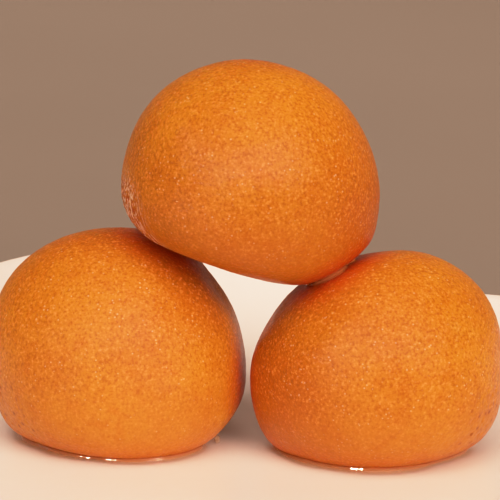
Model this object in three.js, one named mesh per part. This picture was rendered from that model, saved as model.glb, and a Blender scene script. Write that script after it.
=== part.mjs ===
// Three gulab jamun stacked as a pyramid on a shallow white dish.
// Each sweet is a soft, fried ball of milk dough, soaked in sugar syrup, that has sagged flat
// where it stands on the dish and where it presses against its neighbour.
//
// Units are millimetres and +Z is up. The origin is the centre of the dish's foot and the
// front faces -Y. The sweets are shaped in a frame of their own, whose origin lies on the
// dish's floor, midway between the two lower sweets.

import * as THREE from 'three';
import { mergeVertices } from 'three/addons/utils/BufferGeometryUtils.js';

// ---- Dish: a rounded square, turned a little, with corners that lift ----
const DISH_HALF_WIDTH = 93; // from the centre to the middle of a side
const DISH_SQUARENESS = 3.9; // exponent of the outline: 2 is a circle, more is squarer
const DISH_TURN = THREE.MathUtils.degToRad(61); // how far the dish is turned about Z
const FLOOR_HEIGHT = 7; // top of the flat floor above the table
const FLOOR_RADIUS = 56; // where the floor starts to rise towards the rim
const RIM_RISE_SIDE = 9.4; // rim above the floor, in the middle of a side
const RIM_RISE_CORNER = 13.5; // rim above the floor, at a corner
const RISE_POWER = 1.7; // how late the wall curves up: 1 is a straight slope
const WALL = 4; // thickness of the porcelain at the floor
const LIP = 2.6; // thickness at the rim, which is rounded over
const FOOT_RADIUS = 55; // outer edge of the round foot ring
const FOOT_WIDTH = 7; // width of the flat that stands on the table
const FOOT_RECESS = 1.6; // height of the hollow inside the foot ring
const FOOT_DRAFT = 1.2; // how far each side of the foot ring slopes
const DISH_SEGMENTS = 64; // steps round the dish
const WALL_STEPS = 7; // steps along each face of the rising wall
const LIP_STEPS = 4; // steps round the lip

// ---- Stack: where it stands, and the planes its sweets press against ----
const STACK_X = 4; // the stack stands this far right of the dish's centre
const FLOOR_GAP = 0.3; // clearance under each lower sweet
const CONTACT_GAP = 0.15; // clearance on each side of a contact between two sweets
const SWEET_DETAIL = 9; // subdivisions of the ball that each sweet starts from

const FLOOR_PRESS = {
  point: new THREE.Vector3(0, 0, 0),
  normal: new THREE.Vector3(0, 0, -1),
  softness: 2.5,
  gap: FLOOR_GAP,
};
const LEFT_CONTACT = contactPlane(-13.3, 2.4, 35.9, 27, -4);
const RIGHT_CONTACT = contactPlane(15.2, -2.6, 33.6, -31, 4);

// ---- Sweets: half sizes along each axis, tilt about Y, and the swells and dents of the dough ----
const SWEETS = [
  {
    name: 'jamun_left',
    centre: new THREE.Vector3(-23, 4, 13.7),
    halfWidth: 23.2,
    halfDepth: 22.8,
    rise: 24.5,
    drop: 17,
    squareness: 2.6,
    tilt: 6.5,
    swells: [
      { towards: [-0.87, 0, 0.5], height: 2.8, spread: 0.5 },
      { towards: [0.93, 0, 0.37], height: -1.2, spread: 0.35 },
      { towards: [0.4, 0.05, 0.92], height: 0.5, spread: 0.25 },
      { towards: [0.34, 0.05, 0.94], height: 1.2, spread: 0.15 },
      { towards: [0.64, 0, 0.77], height: -2, spread: 0.2 },
      { towards: [0.77, 0, -0.64], height: -2.7, spread: 0.28 },
      { towards: [-0.69, 0, -0.72], height: 1.7, spread: 0.26 },
      { towards: [-0.2, 0.95, 0.2], height: -0.7, spread: 0.45 },
    ],
    presses: [FLOOR_PRESS, pressFrom(LEFT_CONTACT, 1, 1.5)],
    colour: 0xdc7f2e,
  },
  {
    name: 'jamun_right',
    centre: new THREE.Vector3(23, -4.2, 17.2),
    halfWidth: 21.8,
    halfDepth: 21.3,
    rise: 19.7,
    drop: 20,
    squareness: 2.6,
    tilt: -5,
    swells: [
      { towards: [-0.82, 0, 0.57], height: -1.6, spread: 0.4 },
      { towards: [-0.98, 0, -0.17], height: 1.7, spread: 0.4 },
      { towards: [0.87, 0, 0.5], height: 0.8, spread: 0.5 },
      { towards: [-0.37, 0, 0.93], height: -0.3, spread: 0.3 },
      { towards: [-0.05, 0.22, 0.97], height: -1.1, spread: 0.26 },
      { towards: [-0.74, 0, -0.67], height: 1.4, spread: 0.28 },
      { towards: [0.74, 0, -0.67], height: 1.2, spread: 0.26 },
      { towards: [0.35, 0.9, 0.1], height: 0.8, spread: 0.4 },
    ],
    presses: [FLOOR_PRESS, pressFrom(RIGHT_CONTACT, 1, 1.5)],
    colour: 0xdb7b2c,
  },
  {
    name: 'jamun_top',
    centre: new THREE.Vector3(-0.1, -0.6, 49.3),
    halfWidth: 22.4,
    halfDepth: 21.9,
    rise: 21,
    drop: 17,
    squareness: 2.8,
    tilt: 14.7,
    swells: [
      { towards: [0.94, 0, -0.34], height: 2, spread: 0.4 },
      { towards: [-0.12, -0.22, -0.97], height: -2.9, spread: 0.28 },
      { towards: [-0.62, 0.2, -0.76], height: 1, spread: 0.16 },
      { towards: [-0.3, 0.92, 0.1], height: 0.7, spread: 0.45 },
    ],
    presses: [pressFrom(LEFT_CONTACT, -1, 1), pressFrom(RIGHT_CONTACT, -1, 1)],
    colour: 0xe08430,
  },
];

// A contact is the plane between the top sweet and a lower one. Its normal points up at the
// top sweet, leaning to the right and to the back by the two angles, in degrees.
function contactPlane(x, y, z, leanRight, leanBack) {
  const right = Math.tan(THREE.MathUtils.degToRad(leanRight));
  const back = Math.tan(THREE.MathUtils.degToRad(leanBack));
  return { point: new THREE.Vector3(x, y, z), normal: new THREE.Vector3(right, back, 1).normalize() };
}

// One side of a contact: side 1 is the sweet below the plane, side -1 the sweet above it.
function pressFrom(contact, side, softness) {
  const normal = contact.normal.clone().multiplyScalar(side);
  return { point: contact.point, normal, softness, gap: CONTACT_GAP };
}

// Height above a press plane after pressing: beyond the plane nothing is left, well inside
// nothing changes, and a band as wide as the softness eases one into the other.
function pressedHeight(height, softness) {
  if (height <= -softness) return height;
  if (height >= softness) return 0;
  return height - (height + softness) ** 2 / (4 * softness);
}

// The point of an unpressed sweet in a direction from its centre: round above its widest
// level, and squarer below it, where the dough has sagged.
function sweetPoint(direction, sweet) {
  const power = direction.z < 0 ? sweet.squareness : 2;
  const across = Math.hypot(direction.x, direction.y);
  const stretch = (across ** power + Math.abs(direction.z) ** power) ** (-1 / power);
  const height = direction.z < 0 ? sweet.drop : sweet.rise;
  const point = direction.clone().multiplyScalar(stretch);
  point.multiply(new THREE.Vector3(sweet.halfWidth, sweet.halfDepth, height));
  for (const swell of sweet.swells) {
    const towards = new THREE.Vector3(...swell.towards).normalize();
    const nearness = Math.exp((direction.dot(towards) - 1) / swell.spread ** 2);
    point.addScaledVector(direction, swell.height * nearness);
  }
  return point;
}

function sweetGeometry(sweet) {
  const geometry = mergedBall();
  const positions = geometry.getAttribute('position');
  const tiltAxis = new THREE.Vector3(0, 1, 0);
  const tilt = THREE.MathUtils.degToRad(sweet.tilt);
  const direction = new THREE.Vector3();
  for (let i = 0; i < positions.count; i++) {
    direction.fromBufferAttribute(positions, i).normalize();
    const point = sweetPoint(direction, sweet).applyAxisAngle(tiltAxis, tilt).add(sweet.centre);
    for (const press of sweet.presses) {
      const height = point.clone().sub(press.point).dot(press.normal) + press.gap;
      point.addScaledVector(press.normal, pressedHeight(height, press.softness) - height);
    }
    positions.setXYZ(i, point.x, point.y, point.z);
  }
  geometry.computeVertexNormals();
  return geometry;
}

// A ball of even triangles that share their corners.
function mergedBall() {
  const ball = new THREE.IcosahedronGeometry(1, SWEET_DETAIL);
  ball.deleteAttribute('normal');
  ball.deleteAttribute('uv');
  return mergeVertices(ball, 1e-4);
}

// How far up the wall a point is: 0 on the floor, 1 at the rim.
function wallFraction(radius) {
  return Math.max(0, (radius - FLOOR_RADIUS) / (DISH_HALF_WIDTH - FLOOR_RADIUS));
}

// Section of the dish through the middle of a side, from the hollow under it, round the foot,
// up the outside, over the lip, and down the inside to the middle of the floor.
function dishSection() {
  const footTop = FLOOR_HEIGHT - WALL;
  const footInner = FOOT_RADIUS - FOOT_WIDTH;
  const lipRadius = LIP / 2;
  const wallTop = DISH_HALF_WIDTH - lipRadius;
  const section = [
    new THREE.Vector2(0, FOOT_RECESS),
    new THREE.Vector2(footInner - FOOT_DRAFT, FOOT_RECESS),
    new THREE.Vector2(footInner, 0),
    new THREE.Vector2(FOOT_RADIUS, 0),
    new THREE.Vector2(FOOT_RADIUS + FOOT_DRAFT, footTop),
  ];
  const wallPoint = (fraction, thickness) => {
    const radius = FLOOR_RADIUS + fraction * (wallTop - FLOOR_RADIUS);
    const rise = RIM_RISE_SIDE * wallFraction(radius) ** RISE_POWER;
    return new THREE.Vector2(radius, FLOOR_HEIGHT + rise - thickness);
  };
  for (let i = 1; i <= WALL_STEPS; i++) {
    const fraction = i / WALL_STEPS;
    section.push(wallPoint(fraction, THREE.MathUtils.lerp(WALL, LIP, fraction)));
  }
  const lipCentre = wallPoint(1, lipRadius);
  for (let i = 1; i < LIP_STEPS; i++) {
    const angle = -Math.PI / 2 + (i / LIP_STEPS) * Math.PI;
    const offset = new THREE.Vector2(Math.cos(angle), Math.sin(angle)).multiplyScalar(lipRadius);
    section.push(lipCentre.clone().add(offset));
  }
  for (let i = WALL_STEPS; i >= 0; i--) {
    section.push(wallPoint(i / WALL_STEPS, 0));
  }
  section.push(new THREE.Vector2(0, FLOOR_HEIGHT));
  return section;
}

// The lathed dish is round. Its outline is drawn out to a rounded square, more towards the rim
// than at the foot, and its corners are lifted.
function dishGeometry() {
  const geometry = new THREE.LatheGeometry(dishSection(), DISH_SEGMENTS);
  geometry.rotateX(Math.PI / 2);
  const positions = geometry.getAttribute('position');
  for (let i = 0; i < positions.count; i++) {
    const x = positions.getX(i);
    const y = positions.getY(i);
    const radius = Math.hypot(x, y);
    const angle = Math.atan2(y, x) - DISH_TURN;
    const sides = Math.abs(Math.cos(angle)) ** DISH_SQUARENESS;
    const ends = Math.abs(Math.sin(angle)) ** DISH_SQUARENESS;
    const reach = (sides + ends) ** (-1 / DISH_SQUARENESS);
    const draw = 1 + (reach - 1) * (radius / DISH_HALF_WIDTH) ** 2;
    const cornerness = (1 - Math.cos(4 * angle)) / 2;
    const lift = (RIM_RISE_CORNER - RIM_RISE_SIDE) * cornerness * wallFraction(radius) ** RISE_POWER;
    positions.setXYZ(i, x * draw, y * draw, positions.getZ(i) + lift);
  }
  geometry.computeVertexNormals();
  return geometry;
}

function namedMesh(name, geometry, material) {
  const mesh = new THREE.Mesh(geometry, material);
  mesh.name = name;
  return mesh;
}

const porcelain = new THREE.MeshStandardMaterial({ color: 0xf4e8dc, roughness: 0.2, metalness: 0 });
const gulabJamun = new THREE.Group();
gulabJamun.add(namedMesh('dish', dishGeometry(), porcelain));

const stack = new THREE.Group();
stack.position.set(STACK_X, 0, FLOOR_HEIGHT);
for (const sweet of SWEETS) {
  const crust = new THREE.MeshStandardMaterial({ color: sweet.colour, roughness: 0.35, metalness: 0 });
  stack.add(namedMesh(sweet.name, sweetGeometry(sweet), crust));
}
gulabJamun.add(stack);

export default gulabJamun;
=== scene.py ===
import math
import bmesh
import bpy
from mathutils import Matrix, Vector, noise
from mathutils.bvhtree import BVHTree


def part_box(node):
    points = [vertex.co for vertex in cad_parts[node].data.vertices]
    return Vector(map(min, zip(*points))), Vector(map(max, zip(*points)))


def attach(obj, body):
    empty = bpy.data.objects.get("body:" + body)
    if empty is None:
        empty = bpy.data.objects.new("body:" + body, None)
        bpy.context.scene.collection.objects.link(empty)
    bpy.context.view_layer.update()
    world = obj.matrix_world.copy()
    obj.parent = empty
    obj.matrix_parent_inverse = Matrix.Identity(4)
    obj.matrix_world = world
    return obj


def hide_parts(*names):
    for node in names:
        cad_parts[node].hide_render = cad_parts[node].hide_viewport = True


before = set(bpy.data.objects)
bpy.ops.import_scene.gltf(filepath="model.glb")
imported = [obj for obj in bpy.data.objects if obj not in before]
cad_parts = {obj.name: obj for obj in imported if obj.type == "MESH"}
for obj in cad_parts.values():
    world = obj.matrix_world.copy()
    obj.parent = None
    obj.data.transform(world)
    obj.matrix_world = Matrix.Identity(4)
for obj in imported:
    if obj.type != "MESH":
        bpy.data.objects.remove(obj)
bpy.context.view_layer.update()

# ---------------------------------------------------------------------------------------------
# Dish: one piece of white porcelain, pressed as a rounded square whose corners lift.
# A clear glaze covers it, except on the flat of the foot ring, which is wiped bare before firing.
# ---------------------------------------------------------------------------------------------
DISH_HALF_WIDTH = 0.093
DISH_SQUARENESS = 3.9
DISH_TURN = math.radians(61)
FLOOR_HEIGHT = 0.007
FLOOR_RADIUS = 0.056
RIM_RISE_SIDE = 0.0094
RIM_RISE_CORNER = 0.0135
RISE_POWER = 1.7
WALL = 0.004
LIP = 0.0026
FOOT_RADIUS = 0.055
FOOT_WIDTH = 0.007
FOOT_RECESS = 0.0016
FOOT_ROUNDING = 0.0007
GLAZE_WAVE_HEIGHT = 0.00006
GLAZE_WHITE = (0.92, 0.87, 0.87)
GLAZE_CLOUD = (0.90, 0.845, 0.84)
SPECK_BROWN = (0.45, 0.36, 0.26)
BARE_CLAY = (0.66, 0.61, 0.55)
BARE_BELOW = 0.00008
GLAZED_ABOVE = 0.0003
DISH_STEPS = 160
WALL_STEPS = 22
ARC_STEPS = 5
LIP_STEPS = 8
MERGE_DISTANCE = 0.000002


def add_arc(section, centre, radius, start, end, steps=ARC_STEPS):
    """Adds a round stretch to a section of (radius, height) points, angles in degrees."""
    for step in range(steps + 1):
        angle = math.radians(start + (end - start) * step / steps)
        section.append((centre[0] + radius * math.cos(angle), centre[1] + radius * math.sin(angle)))


def wall_fraction(radius):
    """How far up the dish's wall a point is: 0 on the floor, 1 at the rim."""
    return max(0.0, (radius - FLOOR_RADIUS) / (DISH_HALF_WIDTH - FLOOR_RADIUS))


def wall_height(radius):
    return FLOOR_HEIGHT + RIM_RISE_SIDE * wall_fraction(radius) ** RISE_POWER


def dish_section():
    """The outline of half a slice through the dish, from the hollow under it round to its floor."""
    underside = FLOOR_HEIGHT - WALL
    foot_inner = FOOT_RADIUS - FOOT_WIDTH
    wall_top = DISH_HALF_WIDTH - LIP / 2
    section = [(0.0, FOOT_RECESS), (foot_inner * 0.5, FOOT_RECESS)]
    add_arc(section, (foot_inner - FOOT_ROUNDING, FOOT_RECESS - FOOT_ROUNDING), FOOT_ROUNDING, 90, 0)
    add_arc(section, (foot_inner + FOOT_ROUNDING, FOOT_ROUNDING), FOOT_ROUNDING, 180, 270)
    add_arc(section, (FOOT_RADIUS - FOOT_ROUNDING, FOOT_ROUNDING), FOOT_ROUNDING, 270, 360)
    add_arc(section, (FOOT_RADIUS + FOOT_ROUNDING, underside - FOOT_ROUNDING), FOOT_ROUNDING, 180, 90)
    for step in range(1, WALL_STEPS + 1):
        share = step / WALL_STEPS
        radius = FLOOR_RADIUS + share * (wall_top - FLOOR_RADIUS)
        section.append((radius, wall_height(radius) - (WALL + (LIP - WALL) * share)))
    add_arc(section, (wall_top, wall_height(wall_top) - LIP / 2), LIP / 2, -75, 75, LIP_STEPS)
    for step in range(WALL_STEPS, -1, -1):
        radius = FLOOR_RADIUS + step / WALL_STEPS * (wall_top - FLOOR_RADIUS)
        section.append((radius, wall_height(radius)))
    for share in (0.9, 0.75, 0.5, 0.25, 0.0):
        section.append((FLOOR_RADIUS * share, FLOOR_HEIGHT))
    return section


def draw_out(point):
    """Moves a point of the round dish to its place on the rounded square with lifted corners."""
    radius = math.hypot(point.x, point.y)
    angle = math.atan2(point.y, point.x) - DISH_TURN
    sides = abs(math.cos(angle)) ** DISH_SQUARENESS + abs(math.sin(angle)) ** DISH_SQUARENESS
    draw = 1 + (sides ** (-1 / DISH_SQUARENESS) - 1) * (radius / DISH_HALF_WIDTH) ** 2
    cornerness = (1 - math.cos(4 * angle)) / 2
    lift = (RIM_RISE_CORNER - RIM_RISE_SIDE) * cornerness * wall_fraction(radius) ** RISE_POWER
    wave = noise.noise(point * 60) * GLAZE_WAVE_HEIGHT * min(1.0, radius / FLOOR_RADIUS)
    return Vector((point.x * draw, point.y * draw, point.z + lift + wave))


def finished(name, bm, material):
    """Makes an object at the origin of a bmesh, smooth and with its faces outward."""
    bmesh.ops.recalc_face_normals(bm, faces=bm.faces)
    mesh = bpy.data.meshes.new(name)
    bm.to_mesh(mesh)
    bm.free()
    mesh.shade_smooth()
    mesh.materials.append(material)
    piece = bpy.data.objects.new(name, mesh)
    bpy.context.scene.collection.objects.link(piece)
    return piece


class Finish:
    """A material with a Principled shader, and short ways to add and join the nodes that feed it."""

    def __init__(self, name):
        self.material = bpy.data.materials.new(name)
        self.material.use_nodes = True
        self.tree = self.material.node_tree
        self.shader = self.tree.nodes["Principled BSDF"]
        self.place = self.add("ShaderNodeTexCoord").outputs["Object"]

    def add(self, kind, **settings):
        node = self.tree.nodes.new(kind)
        for key, value in settings.items():
            setattr(node, key, value)
        return node

    def join(self, source, target):
        self.tree.links.new(source, target)

    def put(self, socket, value):
        """A socket takes another socket's output, or a plain value."""
        if isinstance(value, bpy.types.NodeSocket):
            self.join(value, socket)
        else:
            socket.default_value = value

    def noise(self, scale, detail=2.0, roughness=0.5, at=None):
        node = self.add("ShaderNodeTexNoise")
        self.join(at or self.place, node.inputs["Vector"])
        node.inputs["Scale"].default_value = scale
        node.inputs["Detail"].default_value = detail
        node.inputs["Roughness"].default_value = roughness
        return node.outputs["Fac"]

    def drawn_along(self, run, stretch):
        """Coordinates in which a pattern comes out drawn long in one direction."""
        dot = self.add("ShaderNodeVectorMath", operation="DOT_PRODUCT")
        self.join(self.place, dot.inputs[0])
        dot.inputs[1].default_value = run
        back = self.add("ShaderNodeVectorMath", operation="SCALE")
        back.inputs[0].default_value = run
        self.join(self.maths("MULTIPLY", dot.outputs["Value"], -stretch), back.inputs["Scale"])
        drawn = self.add("ShaderNodeVectorMath", operation="ADD")
        self.join(self.place, drawn.inputs[0])
        self.join(back.outputs[0], drawn.inputs[1])
        return drawn.outputs[0]

    def cells(self, scale):
        node = self.add("ShaderNodeTexVoronoi")
        self.join(self.place, node.inputs["Vector"])
        node.inputs["Scale"].default_value = scale
        return node.outputs["Distance"]

    def remap(self, value, low, high, to_low=0.0, to_high=1.0):
        """Eases a value from one range to another and holds it at the ends."""
        node = self.add("ShaderNodeMapRange", interpolation_type="SMOOTHSTEP")
        for key, number in zip(("Value", "From Min", "From Max", "To Min", "To Max"),
                               (value, low, high, to_low, to_high)):
            self.put(node.inputs[key], number)
        return node.outputs["Result"]

    def maths(self, operation, first, second):
        node = self.add("ShaderNodeMath", operation=operation)
        self.put(node.inputs[0], first)
        self.put(node.inputs[1], second)
        return node.outputs[0]

    def mix(self, share, first, second):
        """Mixes two colours by a share."""
        node = self.add("ShaderNodeMix", data_type="RGBA")
        self.put(node.inputs[0], share)
        for socket, colour in ((node.inputs[6], first), (node.inputs[7], second)):
            self.put(socket, colour if isinstance(colour, bpy.types.NodeSocket) else (*colour, 1.0))
        return node.outputs[2]

    def bump(self, height, depth, strength=1.0, over=None):
        node = self.add("ShaderNodeBump")
        self.join(height, node.inputs["Height"])
        node.inputs["Distance"].default_value = depth
        node.inputs["Strength"].default_value = strength
        if over:
            self.join(over, node.inputs["Normal"])
        return node.outputs["Normal"]


def glaze():
    """Clear glaze over white porcelain, with faint clouds in the white and a slight orange peel."""
    finish = Finish("white_glaze")
    shader = finish.shader
    split = finish.add("ShaderNodeSeparateXYZ")
    finish.join(finish.place, split.inputs[0])
    bare = finish.remap(split.outputs["Z"], GLAZED_ABOVE, BARE_BELOW)
    clouds = finish.remap(finish.noise(22, 3), 0.35, 0.65)
    white = finish.mix(clouds, GLAZE_WHITE, GLAZE_CLOUD)
    specks = finish.remap(finish.cells(95), 0.045, 0.02)
    specked = finish.mix(finish.maths("MULTIPLY", specks, 0.12), white, SPECK_BROWN)
    body = finish.mix(bare, specked, BARE_CLAY)
    finish.join(body, shader.inputs["Base Color"])
    sheen_spots = finish.remap(finish.noise(45, 2), 0.3, 0.7, 0.16, 0.24)
    finish.join(finish.maths("MAXIMUM", sheen_spots, finish.maths("MULTIPLY", bare, 0.85)),
                shader.inputs["Roughness"])
    peel = finish.bump(finish.noise(260, 2), 0.00003, 0.6)
    finish.join(peel, shader.inputs["Normal"])
    shader.inputs["IOR"].default_value = 1.5
    shader.inputs["Subsurface Weight"].default_value = 0.12
    shader.inputs["Subsurface Radius"].default_value = (1.0, 0.9, 0.8)
    shader.inputs["Subsurface Scale"].default_value = 0.0012
    return finish.material


dish_mesh = bmesh.new()
section_points = [dish_mesh.verts.new((radius, 0.0, height)) for radius, height in dish_section()]
section_edges = [dish_mesh.edges.new(pair) for pair in zip(section_points, section_points[1:])]
bmesh.ops.spin(dish_mesh, geom=section_points + section_edges, cent=(0, 0, 0), axis=(0, 0, 1),
               angle=2 * math.pi, steps=DISH_STEPS, use_merge=True)
bmesh.ops.remove_doubles(dish_mesh, verts=dish_mesh.verts, dist=MERGE_DISTANCE)
for vertex in dish_mesh.verts:
    vertex.co = draw_out(vertex.co)
dish = finished("porcelain_dish", dish_mesh, glaze())
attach(dish, "root")
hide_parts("dish")

# ---------------------------------------------------------------------------------------------
# Sweets: balls of milk dough, fried slowly to a thin brown crust and left in warm sugar syrup
# until they swell. The crust is soft, fine grained and wet, smoother low down where it soaks,
# and pitted or wrinkled in places. Light and shade are painted into its colour too: a duller tone
# low down for light bounced from the dish, browner patches and a deep red at the seams and feet
# for shade (at the seams partly syrup), and pale specks and wrinkle streaks for glints.
# ---------------------------------------------------------------------------------------------
CRUST_SUBDIVISIONS = 3
CONTACT_CLOSING = 0.00012
FOOT_CLOSING = 0.00022
FOOT_BAND = 0.0006
FOOT_RELIEF = 0.2
SEED_STEP = 0.3
LUMP_HEIGHT = 0.00016
GRAIN_HEIGHT = 0.00004
PIT_DEPTH = 0.00016
WRINKLE_HEIGHT = 0.00016
WRINKLE_RUN = Vector((0.45, 0.25, -0.86)).normalized()
WRINKLE_STRETCH = 0.85
CRUST_ORANGE = (0.48, 0.153, 0.0088)
CRUST_AMBER = (0.55, 0.194, 0.0130)
# Painted bounce light: a duller, less saturated amber on the undersides, standing in for light from the
# dish.
BOUNCE_LIT_AMBER = (0.43, 0.155, 0.023)
# Painted shade: a browner red for the shaded patches listed below.
PAINTED_SHADE_BROWN = (0.37, 0.074, 0.0055)
# Deep red near the seams and feet: partly syrup, partly painted shade with the red of light bounced
# between the sweets.
SEAM_SHADE_RED = (0.50, 0.042, 0.0045)
MOTTLE_BROWN = (0.35, 0.088, 0.0045)
DARK_GRAIN = (0.24, 0.070, 0.0055)
LIGHT_GRAIN = (0.80, 0.26, 0.045)
# Painted highlight: pale specks standing in for glints on the wet crust.
PAINTED_GLINT_WHITE = (1.0, 0.58, 0.30)
FLECK_BROWN = (0.26, 0.06, 0.006)
PORE_BROWN = (0.18, 0.045, 0.008)
# Wrinkle colours: painted shade between the ridges and painted glints on them.
WRINKLE_SHADE_DARK = (0.33, 0.055, 0.010)
WRINKLE_GLINT_WHITE = (0.88, 0.58, 0.44)
SEAM_REACH = 0.0065
# How strongly painted shade darkens the crust just above the dish.
FOOT_SHADE = 0.4
CRUST_LAYERS = ("pitted", "wrinkled", "painted_shade", "soaked", "seam")
# The last list of patches on each sweet paints shade into the crust: browner red under the top sweet,
# on flanks facing a neighbour, on undersides and on the tops.
SWEET_MARKS = {
    "jamun_left": {
        "pits": [((-0.75, -0.35, -0.57), 0.30), ((0.5, 0.8, -0.3), 0.3)],
        "wrinkles": [],
        "painted_shade": [((0.0, 0.0, 1.0), 0.45), ((0.75, -0.3, 0.6), 0.4)],
    },
    "jamun_right": {
        "pits": [((0.80, -0.35, -0.47), 0.30), ((-0.4, 0.85, -0.3), 0.3)],
        "wrinkles": [],
        "painted_shade": [((-0.95, -0.25, -0.1), 0.65), ((-0.5, -0.3, 0.8), 0.5)],
    },
    "jamun_top": {
        "pits": [((0.2, 0.9, 0.3), 0.3)],
        "wrinkles": [((-0.93, -0.25, -0.25), 0.2), ((-0.83, -0.25, -0.5), 0.2)],
        "painted_shade": [((0.85, -0.2, -0.35), 0.6), ((0.0, 0.3, 1.0), 0.35),
                    ((-0.1, -0.45, -0.9), 0.6)],
    },
}


def eased(value, low, high):
    """0 at low, 1 at high, smooth between."""
    share = max(0.0, min(1.0, (value - low) / (high - low)))
    return share * share * (3 - 2 * share)


def patch_strength(direction, patches):
    """How deep inside the nearest patch a direction lies: 0 outside, 1 in its middle."""
    strength = 0.0
    for towards, spread in patches:
        nearness = math.exp((direction.dot(Vector(towards).normalized()) - 1) / spread ** 2)
        strength = max(strength, nearness)
    return strength


def fine_crust(node):
    """The CAD sweet with its corners merged, subdivided until the crust's grain can be modelled."""
    bm = bmesh.new()
    bm.from_mesh(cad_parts[node].data)
    bmesh.ops.remove_doubles(bm, verts=bm.verts, dist=MERGE_DISTANCE)
    coarse = bpy.data.meshes.new(node + "_coarse")
    bm.to_mesh(coarse)
    bm.free()
    carrier = bpy.data.objects.new(node + "_coarse", coarse)
    bpy.context.scene.collection.objects.link(carrier)
    smoothing = carrier.modifiers.new("smoothing", "SUBSURF")
    smoothing.levels = CRUST_SUBDIVISIONS
    smoothing.render_levels = CRUST_SUBDIVISIONS
    smooth = carrier.evaluated_get(bpy.context.evaluated_depsgraph_get())
    fine = bpy.data.meshes.new_from_object(smooth)
    bpy.data.objects.remove(carrier)
    bpy.data.meshes.remove(coarse)
    return fine


def crust_relief(point, seed, pitted, wrinkled):
    """Height of the crust's lumps, grain, pits and wrinkles above the smooth ball."""
    shifted = point + Vector((seed, 0, 0))
    lumps = noise.noise(shifted * 85) * LUMP_HEIGHT
    grain = noise.fractal(shifted * 800, 0.8, 2.0, 2) * GRAIN_HEIGHT
    pit_distance = noise.voronoi(shifted * 520)[0][0]
    pits = -eased(pit_distance, 0.42, 0.1) * PIT_DEPTH * eased(pitted, 0.25, 0.8)
    drawn = shifted - WRINKLE_RUN * (shifted.dot(WRINKLE_RUN) * WRINKLE_STRETCH)
    ridges = 1 - abs(noise.noise(drawn * 1500)) * 2.2
    wrinkles = max(0.0, ridges) ** 2 * WRINKLE_HEIGHT * eased(wrinkled, 0.3, 0.85)
    return lumps + grain + pits + wrinkles


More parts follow.
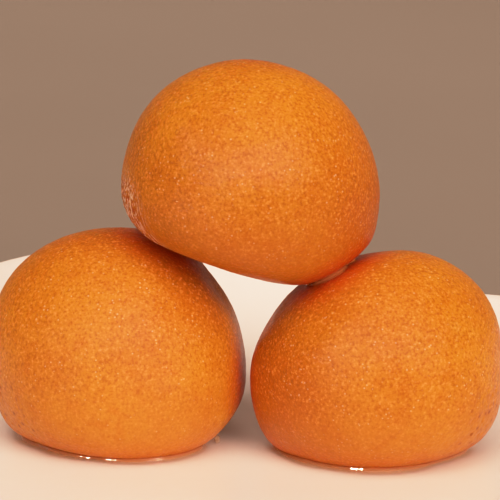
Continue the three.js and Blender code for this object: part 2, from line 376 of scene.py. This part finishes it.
def crust():
    """Soaked fried crust: mottled orange, with a fine dark and light grain and a broken wet sheen.
    Painted into the colour: a duller tone low down for bounce light, browner patches for shade,
    deep red at the seams and feet for shade (partly syrup at the seams), and pale specks and
    wrinkle streaks for glints, with shade between the wrinkles."""
    finish = Finish("soaked_crust")
    shader = finish.shader
    pitted = finish.add("ShaderNodeAttribute", attribute_name="pitted").outputs["Fac"]
    wrinkled = finish.add("ShaderNodeAttribute", attribute_name="wrinkled").outputs["Fac"]
    painted_shade = finish.add("ShaderNodeAttribute", attribute_name="painted_shade").outputs["Fac"]
    soaked = finish.add("ShaderNodeAttribute", attribute_name="soaked").outputs["Fac"]
    seam = finish.add("ShaderNodeAttribute", attribute_name="seam").outputs["Fac"]
    grainy = finish.remap(finish.maths("MAXIMUM", soaked, seam), 0.0, 1.0, 1.0, 0.4)
    blotches = finish.remap(finish.noise(75, 3, 0.55), 0.33, 0.67)
    base = finish.mix(blotches, CRUST_ORANGE, CRUST_AMBER)
    # Painted bounce light: faces turned down are mixed toward a duller amber.
    base = finish.mix(finish.maths("MULTIPLY", soaked, 0.55), base, BOUNCE_LIT_AMBER)
    # Painted shade: the shaded patches turn browner red.
    base = finish.mix(finish.maths("MULTIPLY", painted_shade, 0.8), base, PAINTED_SHADE_BROWN)
    # Painted shade, partly syrup: deep red near the seams and just above the dish.
    base = finish.mix(finish.maths("MULTIPLY", seam, 0.9), base, SEAM_SHADE_RED)
    mottle = finish.noise(420, 2, 0.5)
    base = finish.mix(finish.remap(mottle, 0.52, 0.3, 0.0, 0.3), base, MOTTLE_BROWN)
    grain = finish.noise(1900, 2, 0.6)
    dark_grain = finish.maths("MULTIPLY", finish.remap(grain, 0.52, 0.32, 0.0, 0.65), grainy)
    base = finish.mix(dark_grain, base, DARK_GRAIN)
    light_grain = finish.maths("MULTIPLY", finish.remap(grain, 0.54, 0.72, 0.0, 0.8), grainy)
    base = finish.mix(light_grain, base, LIGHT_GRAIN)
    # Painted glints: small pale specks, gathered in places, stand in for sparkles of light on the wet
    # crust.
    glint_specks = finish.maths("MULTIPLY", finish.remap(finish.cells(1250), 0.27, 0.1), grainy)
    glint_places = finish.remap(finish.noise(330, 3, 0.7), 0.52, 0.6)
    base = finish.mix(finish.maths("MULTIPLY", finish.maths("MULTIPLY", glint_specks, glint_places), 0.45),
                      base, PAINTED_GLINT_WHITE)
    flecks = finish.remap(finish.cells(620), 0.2, 0.05)
    fleck_places = finish.remap(finish.noise(210, 2), 0.5, 0.62)
    base = finish.mix(finish.maths("MULTIPLY", finish.maths("MULTIPLY", flecks, fleck_places), 0.5),
                      base, FLECK_BROWN)
    pores = finish.remap(finish.cells(520), 0.34, 0.1)
    base = finish.mix(finish.maths("MULTIPLY", pores, finish.maths("MULTIPLY", pitted, 0.75)),
                      base, PORE_BROWN)
    # Painted shade between the wrinkle ridges and painted glints along them.
    strands = finish.noise(2300, 2, 0.6, at=finish.drawn_along(WRINKLE_RUN, WRINKLE_STRETCH))
    base = finish.mix(finish.maths("MULTIPLY", finish.remap(strands, 0.5, 0.38), wrinkled),
                      base, WRINKLE_SHADE_DARK)
    base = finish.mix(finish.maths("MULTIPLY", finish.remap(strands, 0.52, 0.62), wrinkled),
                      base, WRINKLE_GLINT_WHITE)
    finish.join(base, shader.inputs["Base Color"])
    finish.join(finish.remap(finish.noise(300, 3), 0.3, 0.7, 0.34, 0.5), shader.inputs["Roughness"])
    under = finish.bump(finish.noise(2100, 2, 0.6), 0.00015, 1.0)
    under = finish.bump(finish.noise(760, 2), 0.00016, 0.5, over=under)
    finish.join(under, shader.inputs["Normal"])
    wet = finish.bump(finish.noise(1400, 2, 0.6), 0.00039, 1.0)
    finish.join(wet, shader.inputs["Coat Normal"])
    shader.inputs["Coat Weight"].default_value = 0.32
    shader.inputs["Coat Roughness"].default_value = 0.05
    shader.inputs["Coat IOR"].default_value = 1.4
    shader.inputs["IOR"].default_value = 1.4
    shader.inputs["Specular IOR Level"].default_value = 0.04
    shader.inputs["Subsurface Weight"].default_value = 0.45
    shader.inputs["Subsurface Radius"].default_value = (1.0, 0.3, 0.1)
    shader.inputs["Subsurface Scale"].default_value = 0.004
    return finish.material


def touching_surfaces(node):
    """The surfaces of the other sweets, to find how near a seam each point of this one lies."""
    merged = bmesh.new()
    for other in SWEET_MARKS:
        if other != node:
            merged.from_mesh(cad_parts[other].data)
    tree = BVHTree.FromBMesh(merged)
    merged.free()
    return tree


crust_finish = crust()
sweets = {}
for index, (node, marks) in enumerate(SWEET_MARKS.items()):
    mesh = fine_crust(node)
    low, high = (Vector(corner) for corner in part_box(node))
    middle = (low + high) / 2
    for key in CRUST_LAYERS:
        mesh.attributes.new(key, "FLOAT", "POINT")
    layers = {key: mesh.attributes[key].data for key in CRUST_LAYERS}
    foot_height = low.z + FOOT_BAND
    others = touching_surfaces(node)
    moves = []
    for vertex in mesh.vertices:
        direction = (vertex.co - middle).normalized()
        pitted = patch_strength(direction, marks["pits"])
        wrinkled = patch_strength(direction, marks["wrinkles"])
        relief = crust_relief(vertex.co, index * SEED_STEP, pitted, wrinkled)
        standing = node != "jamun_top" and vertex.co.z < foot_height
        moves.append(vertex.normal * (CONTACT_CLOSING + relief * (FOOT_RELIEF if standing else 1.0)))
        if standing:
            moves[-1].z -= FOOT_CLOSING - CONTACT_CLOSING
        layers["pitted"][vertex.index].value = eased(pitted, 0.2, 0.8)
        layers["wrinkled"][vertex.index].value = eased(wrinkled, 0.15, 0.65)
        # Painted shade: how deep a point lies in the shaded patches.
        layers["painted_shade"][vertex.index].value = patch_strength(direction, marks["painted_shade"])
        # Faces turned down: smoother crust where it soaks, and the painted bounce light low down.
        layers["soaked"][vertex.index].value = eased(-direction.z, -0.1, 0.75)
        # Nearness to another sweet or to the dish, for the painted seam and foot shade.
        gap = others.find_nearest(vertex.co, SEAM_REACH)[3]
        seam = 0.0 if gap is None else eased(gap, SEAM_REACH, 0.0)
        foot = FOOT_SHADE * eased(vertex.co.z - FLOOR_HEIGHT, SEAM_REACH, 0.0)
        layers["seam"][vertex.index].value = max(seam, foot)
    for vertex, move in zip(mesh.vertices, moves):
        vertex.co += move
    bm = bmesh.new()
    bm.from_mesh(mesh)
    bpy.data.meshes.remove(mesh)
    sweet = finished(node + "_crust", bm, crust_finish)
    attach(sweet, "root")
    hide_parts(node)
    sweets[node] = sweet

# ---------------------------------------------------------------------------------------------
# Syrup: thin clear amber sugar syrup that has drained off the sweets. It climbs a little up each
# lower sweet's foot, runs out into a thin film on the glaze, fills the creases above, and a few
# clear drops of it stand against the feet.
# ---------------------------------------------------------------------------------------------
BEAD_STEPS = 288
BEAD_FACES = 9
CLIMB_HEIGHT = 0.0011
FILM_REACH = 0.0018
FILM_HEIGHT = 0.00013
UNDER_GLAZE = 0.00003
CLIMB_OVERLAP = 0.0001
HIDDEN_ROOT = 0.0010
USUAL_FOOT_RADIUS = 0.014
USUAL_HALF_HEIGHT = 0.02
CREASE_OPENING = 0.0006
CREASE_ROOT = 0.0022
CREASE_HOLLOW = 0.0003
CREASE_SEARCH = (0.001, 0.016)
CREASE_HALVINGS = 12
CREASE_PROBE = 0.004
ROOT_HALF_HEIGHT = 0.00005
SYRUP_THIN = (0.80, 0.54, 0.25)
SYRUP_DEEP = (0.34, 0.060, 0.014)
SYRUP_RIPPLE = (0.50, 0.16, 0.03)
DROP_DEPTH = 0.3
STANDING_DROPS = {
    "jamun_left": ((-15, 0.0189, 0.0006, 0.0009), (-11, 0.0184, 0.0004, 0.0005),
                   (128, 0.0175, 0.0005, 0.0007), (141, 0.0180, 0.0004, 0.0004)),
    "jamun_right": ((172, 0.0152, 0.0006, 0.0009), (165, 0.0158, 0.0003, 0.0005),
                    (62, 0.0175, 0.0005, 0.0006)),
}


def syrup():
    """Amber syrup: glossy, deep amber where it stands thick and almost clear where it thins out."""
    finish = Finish("amber_syrup")
    shader = finish.shader
    depth = finish.add("ShaderNodeAttribute", attribute_name="depth").outputs["Fac"]
    ripples = finish.noise(240, 2)
    tint = finish.mix(depth, SYRUP_THIN, SYRUP_DEEP)
    tint = finish.mix(finish.remap(ripples, 0.35, 0.65, 0.0, 0.2), tint, SYRUP_RIPPLE)
    finish.join(tint, shader.inputs["Base Color"])
    finish.join(finish.remap(depth, 0.0, 1.0, 0.02, 0.8), shader.inputs["Alpha"])
    finish.join(finish.bump(ripples, 0.00001, 0.2), shader.inputs["Normal"])
    finish.join(finish.remap(finish.noise(500, 2), 0.3, 0.7, 0.03, 0.07), shader.inputs["Roughness"])
    shader.inputs["IOR"].default_value = 1.46
    return finish.material


def surface_of(piece):
    bm = bmesh.new()
    bm.from_mesh(piece.data)
    tree = BVHTree.FromBMesh(bm)
    bm.free()
    return tree


def ray_length(tree, start, direction, fallback):
    """Distance from a point to a piece's surface in a direction."""
    hit = tree.ray_cast(start, direction)
    return hit[3] if hit[0] else fallback


def syrup_ring(name, centre, up, section_at, material):
    """A closed ring of syrup round a centre. section_at(outward, angle) gives the ring's section
    there as (radius, height, depth) points, going round, the same number at every angle."""
    side = up.orthogonal().normalized()
    across = up.cross(side)
    sections = []
    for step in range(BEAD_STEPS):
        angle = 2 * math.pi * step / BEAD_STEPS
        outward = side * math.cos(angle) + across * math.sin(angle)
        sections.append((outward, section_at(outward, angle)))
    count = len(sections[0][1])
    ring = bmesh.new()
    number = ring.verts.layers.int.new("number")
    corners = []
    for index in range(count):
        turn = 2 * math.pi * index / count
        corner = ring.verts.new((3 + math.cos(turn), 0, math.sin(turn)))
        corner[number] = index
        corners.append(corner)
    edges = [ring.edges.new((corners[i - 1], corners[i])) for i in range(count)]
    bmesh.ops.spin(ring, geom=corners + edges, cent=(0, 0, 0), axis=(0, 0, 1), angle=2 * math.pi,
                   steps=BEAD_STEPS, use_merge=True)
    bmesh.ops.remove_doubles(ring, verts=ring.verts, dist=0.0001)
    layer = ring.verts.layers.float.new("depth")
    for vertex in ring.verts:
        step = round(math.atan2(vertex.co.y, vertex.co.x) * BEAD_STEPS / (2 * math.pi)) % BEAD_STEPS
        outward, section = sections[step]
        radius, height, depth = section[vertex[number]]
        vertex.co = centre + outward * radius + up * height
        vertex[layer] = depth
    return finished(name, ring, material)


syrup_finish = syrup()
drops = bmesh.new()
drop_depth = drops.verts.layers.float.new("depth")
for node in ("jamun_left", "jamun_right"):
    tree = surface_of(sweets[node])
    low, high = (Vector(corner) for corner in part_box(node))
    foot = Vector(((low.x + high.x) / 2, (low.y + high.y) / 2, FLOOR_HEIGHT))
    up = Vector((0, 0, 1))

    def foot_section(outward, angle, tree=tree, foot=foot, seed=low.x):
        """From the top of the climb down its hollow face, out over the film, and back below."""
        spot = Vector((math.cos(angle), math.sin(angle), seed * 100))
        wander = noise.noise(spot * 1.7) + 0.2 * noise.noise(spot * 4)
        height = CLIMB_HEIGHT * (1 + 0.35 * wander)
        reach = FILM_REACH * (1 + 0.55 * wander)
        radius = ray_length(tree, foot + up * height, outward, USUAL_FOOT_RADIUS)
        base = ray_length(tree, foot + up * FILM_HEIGHT, outward, USUAL_FOOT_RADIUS)
        turn_in = radius + 0.7 * height
        points = [(radius - CLIMB_OVERLAP, height, 1.0)]
        for step in range(1, BEAD_FACES):
            share = step / BEAD_FACES
            points.append((radius + (turn_in - radius) * share ** 1.6,
                           FILM_HEIGHT + (height - FILM_HEIGHT) * (1 - share) ** 2.2,
                           1 - 0.7 * share ** 0.7))
        for share in (0.0, 0.25, 0.5, 0.75, 0.92):
            points.append((turn_in + reach * share, FILM_HEIGHT * (1 - 0.5 * share),
                           0.3 * (1 - share) ** 1.5))
        points.append((turn_in + reach, -UNDER_GLAZE, 0.0))
        points.append((base - HIDDEN_ROOT, -UNDER_GLAZE, 1.0))
        return points

    film = syrup_ring("syrup_foot_" + node.split("_")[1], foot, up, foot_section, syrup_finish)
    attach(film, "root")

    for turn, reach, width, height in STANDING_DROPS[node]:
        outward = Vector((math.cos(math.radians(turn)), math.sin(math.radians(turn)), 0))
        drop = bmesh.ops.create_icosphere(drops, subdivisions=3, radius=1)["verts"]
        bmesh.ops.scale(drops, verts=drop, vec=(width, width, height))
        bmesh.ops.translate(drops, verts=drop, vec=foot + up * height * 0.9 + outward * reach)
        for vertex in drop:
            vertex.co.z = max(vertex.co.z, FLOOR_HEIGHT - UNDER_GLAZE)
            vertex[drop_depth] = DROP_DEPTH

standing_drops = finished("syrup_drops", drops, syrup_finish)
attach(standing_drops, "root")

top_tree = surface_of(sweets["jamun_top"])
for node in ("jamun_left", "jamun_right"):
    tree = surface_of(sweets[node])
    top_low, top_high = (Vector(corner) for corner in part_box("jamun_top"))
    low, high = (Vector(corner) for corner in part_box(node))
    above, below = (top_low + top_high) / 2, (low + high) / 2
    up = (above - below).normalized()
    touch = below + up * ray_length(tree, below, up, USUAL_HALF_HEIGHT)

    def gap_ends(point, up=up, tree=tree):
        """Heights of the upper and the lower sweet's surface from a point in the crease."""
        reach = CREASE_PROBE
        over = ray_length(top_tree, point - up * reach, up, 2 * reach) - reach
        under = reach - ray_length(tree, point + up * reach, -up, 2 * reach)
        return over, under

    def crease_section(outward, angle, touch=touch, seed=low.x):
        """From the upper sweet round the hollow outer face to the lower one, and back inside."""
        spot = Vector((math.cos(angle) * 2, math.sin(angle) * 2, seed * 100))
        opening = CREASE_OPENING * (1 + 0.4 * noise.noise(spot))
        inner, radius = CREASE_SEARCH
        for _ in range(CREASE_HALVINGS):
            middle = (inner + radius) / 2
            over, under = gap_ends(touch + outward * middle)
            if over - under > opening:
                radius = middle
            else:
                inner = middle
        middle = (over + under) / 2
        points = []
        for step in range(BEAD_FACES + 1):
            share = step / BEAD_FACES
            hollow = CREASE_HOLLOW * 4 * share * (1 - share)
            points.append((radius - hollow, over + (under - over) * share, 0.9))
        points.append((radius - CREASE_ROOT, middle - ROOT_HALF_HEIGHT, 1.0))
        points.append((radius - CREASE_ROOT, middle + ROOT_HALF_HEIGHT, 1.0))
        return points

    bead = syrup_ring("syrup_crease_" + node.split("_")[1], touch, up, crease_section, syrup_finish)
    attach(bead, "root")

# ---------------------------------------------------------------------------------------------
# Studio: a plain pale table, five soft warm far lamps that light the stack, one of them also
# showing in its gloss, two small ones that show only in the gloss, and the camera.
# ---------------------------------------------------------------------------------------------
TABLE_SIZE = 8.0
TABLE_DARK = (0.20, 0.178, 0.156)
TABLE_LIGHT = (0.21, 0.188, 0.166)
AIR_ABOVE = (0.085, 0.053, 0.035)
AIR_LOW = (0.315, 0.202, 0.139)
AIR_LOW_END = 0.1
AIR_ABOVE_START = 0.35
STACK_X = 0.004
STACK_MIDDLE = 0.036
VIEW_DISTANCE = 0.480
VIEW_PITCH = math.radians(13)
VIEW_WIDTH = 0.090
LAMP_COLOUR = (1.0, 0.70, 0.53)
view_target = Vector((STACK_X, 0, FLOOR_HEIGHT + STACK_MIDDLE))

table_finish = Finish("pale_table")
table_tone = table_finish.mix(table_finish.remap(table_finish.noise(3, 2), 0.3, 0.7),
                              TABLE_DARK, TABLE_LIGHT)
table_finish.join(table_tone, table_finish.shader.inputs["Base Color"])
table_finish.shader.inputs["Roughness"].default_value = 0.85
table_mesh = bmesh.new()
bmesh.ops.create_grid(table_mesh, x_segments=4, y_segments=4, size=TABLE_SIZE / 2)
table = finished("table", table_mesh, table_finish.material)


def lamp(name, azimuth, elevation, strength, width, lights=True, shines=False):
    """A soft far lamp, as wide as the given angle. Azimuth 0 is straight in front of the stack,
    positive to the right. It can light the surfaces, shine in their gloss, or both."""
    light = bpy.data.lights.new(name, "SUN")
    light.angle = math.radians(width)
    light.energy = strength
    light.color = LAMP_COLOUR
    holder = bpy.data.objects.new(name, light)
    holder.visible_diffuse = lights
    holder.visible_glossy = shines
    turn, rise = math.radians(azimuth), math.radians(elevation)
    away = Vector((math.sin(turn) * math.cos(rise), -math.cos(turn) * math.cos(rise), math.sin(rise)))
    holder.location = view_target + away
    holder.rotation_euler = away.to_track_quat("Z", "Y").to_euler()
    bpy.context.scene.collection.objects.link(holder)


lamp("glint_left", -33, 18, 3.4, 6, lights=False, shines=True)
lamp("glint_right", 33, 26, 4.2, 6, lights=False, shines=True)
lamp("lamp_front", -4, 13, 0.8, 30)
lamp("lamp_left", -40, 50, 1.2, 49)
lamp("lamp_right", 34, 22, 3.1, 32)
lamp("lamp_top", 5, 60, 1.85, 49, shines=True)
lamp("lamp_back", 180, 60, 0.45, 49)

FILM_WHITE = 2.5
FILM_SHOULDER = 0.5
FILM_STEPS = (0.25, 0.5, 0.65, 0.8, 1.0, 1.25, 1.5, 2.0)


def film_tone(level):
    """Film's answer to light: as it is up to the shoulder, then ever less, up to white."""
    if level < FILM_SHOULDER:
        return level
    room = 1 - FILM_SHOULDER
    return FILM_SHOULDER + room * (1 - math.exp(-(level - FILM_SHOULDER) / room))


world = bpy.data.worlds.new("studio_air")
world.use_nodes = True
air = world.node_tree
direction = air.nodes.new("ShaderNodeTexCoord")
height = air.nodes.new("ShaderNodeSeparateXYZ")
air.links.new(direction.outputs["Generated"], height.inputs[0])
walls = air.nodes.new("ShaderNodeMapRange")
walls.interpolation_type = "SMOOTHSTEP"
for key, number in zip(("From Min", "From Max", "To Min", "To Max"),
                       (AIR_LOW_END, AIR_ABOVE_START, 1.0, 0.0)):
    walls.inputs[key].default_value = number
air.links.new(height.outputs["Z"], walls.inputs["Value"])
tone = air.nodes.new("ShaderNodeMix")
tone.data_type = "RGBA"
air.links.new(walls.outputs["Result"], tone.inputs[0])
tone.inputs[6].default_value = (*AIR_ABOVE, 1)
tone.inputs[7].default_value = (*AIR_LOW, 1)
air.links.new(tone.outputs[2], air.nodes["Background"].inputs["Color"])
bpy.context.scene.world = world

look = bpy.context.scene.view_settings
look.view_transform = "Standard"
look.use_curve_mapping = True
look.curve_mapping.white_level = (FILM_WHITE, FILM_WHITE, FILM_WHITE)
film = look.curve_mapping.curves[3]
film.points[-1].location = (1.0, film_tone(FILM_WHITE))
for light_level in FILM_STEPS:
    film.points.new(light_level / FILM_WHITE, film_tone(light_level))
look.curve_mapping.update()

lens = bpy.data.cameras.new("camera")
lens.sensor_width = 36
lens.lens = lens.sensor_width * VIEW_DISTANCE / VIEW_WIDTH
lens.clip_start = 0.01
lens.clip_end = 50
camera = bpy.data.objects.new("camera", lens)
camera.location = view_target + Vector((0, -math.cos(VIEW_PITCH), math.sin(VIEW_PITCH))) * VIEW_DISTANCE
camera.rotation_euler = (math.pi / 2 - VIEW_PITCH, 0, 0)
bpy.context.scene.collection.objects.link(camera)
bpy.context.scene.camera = camera
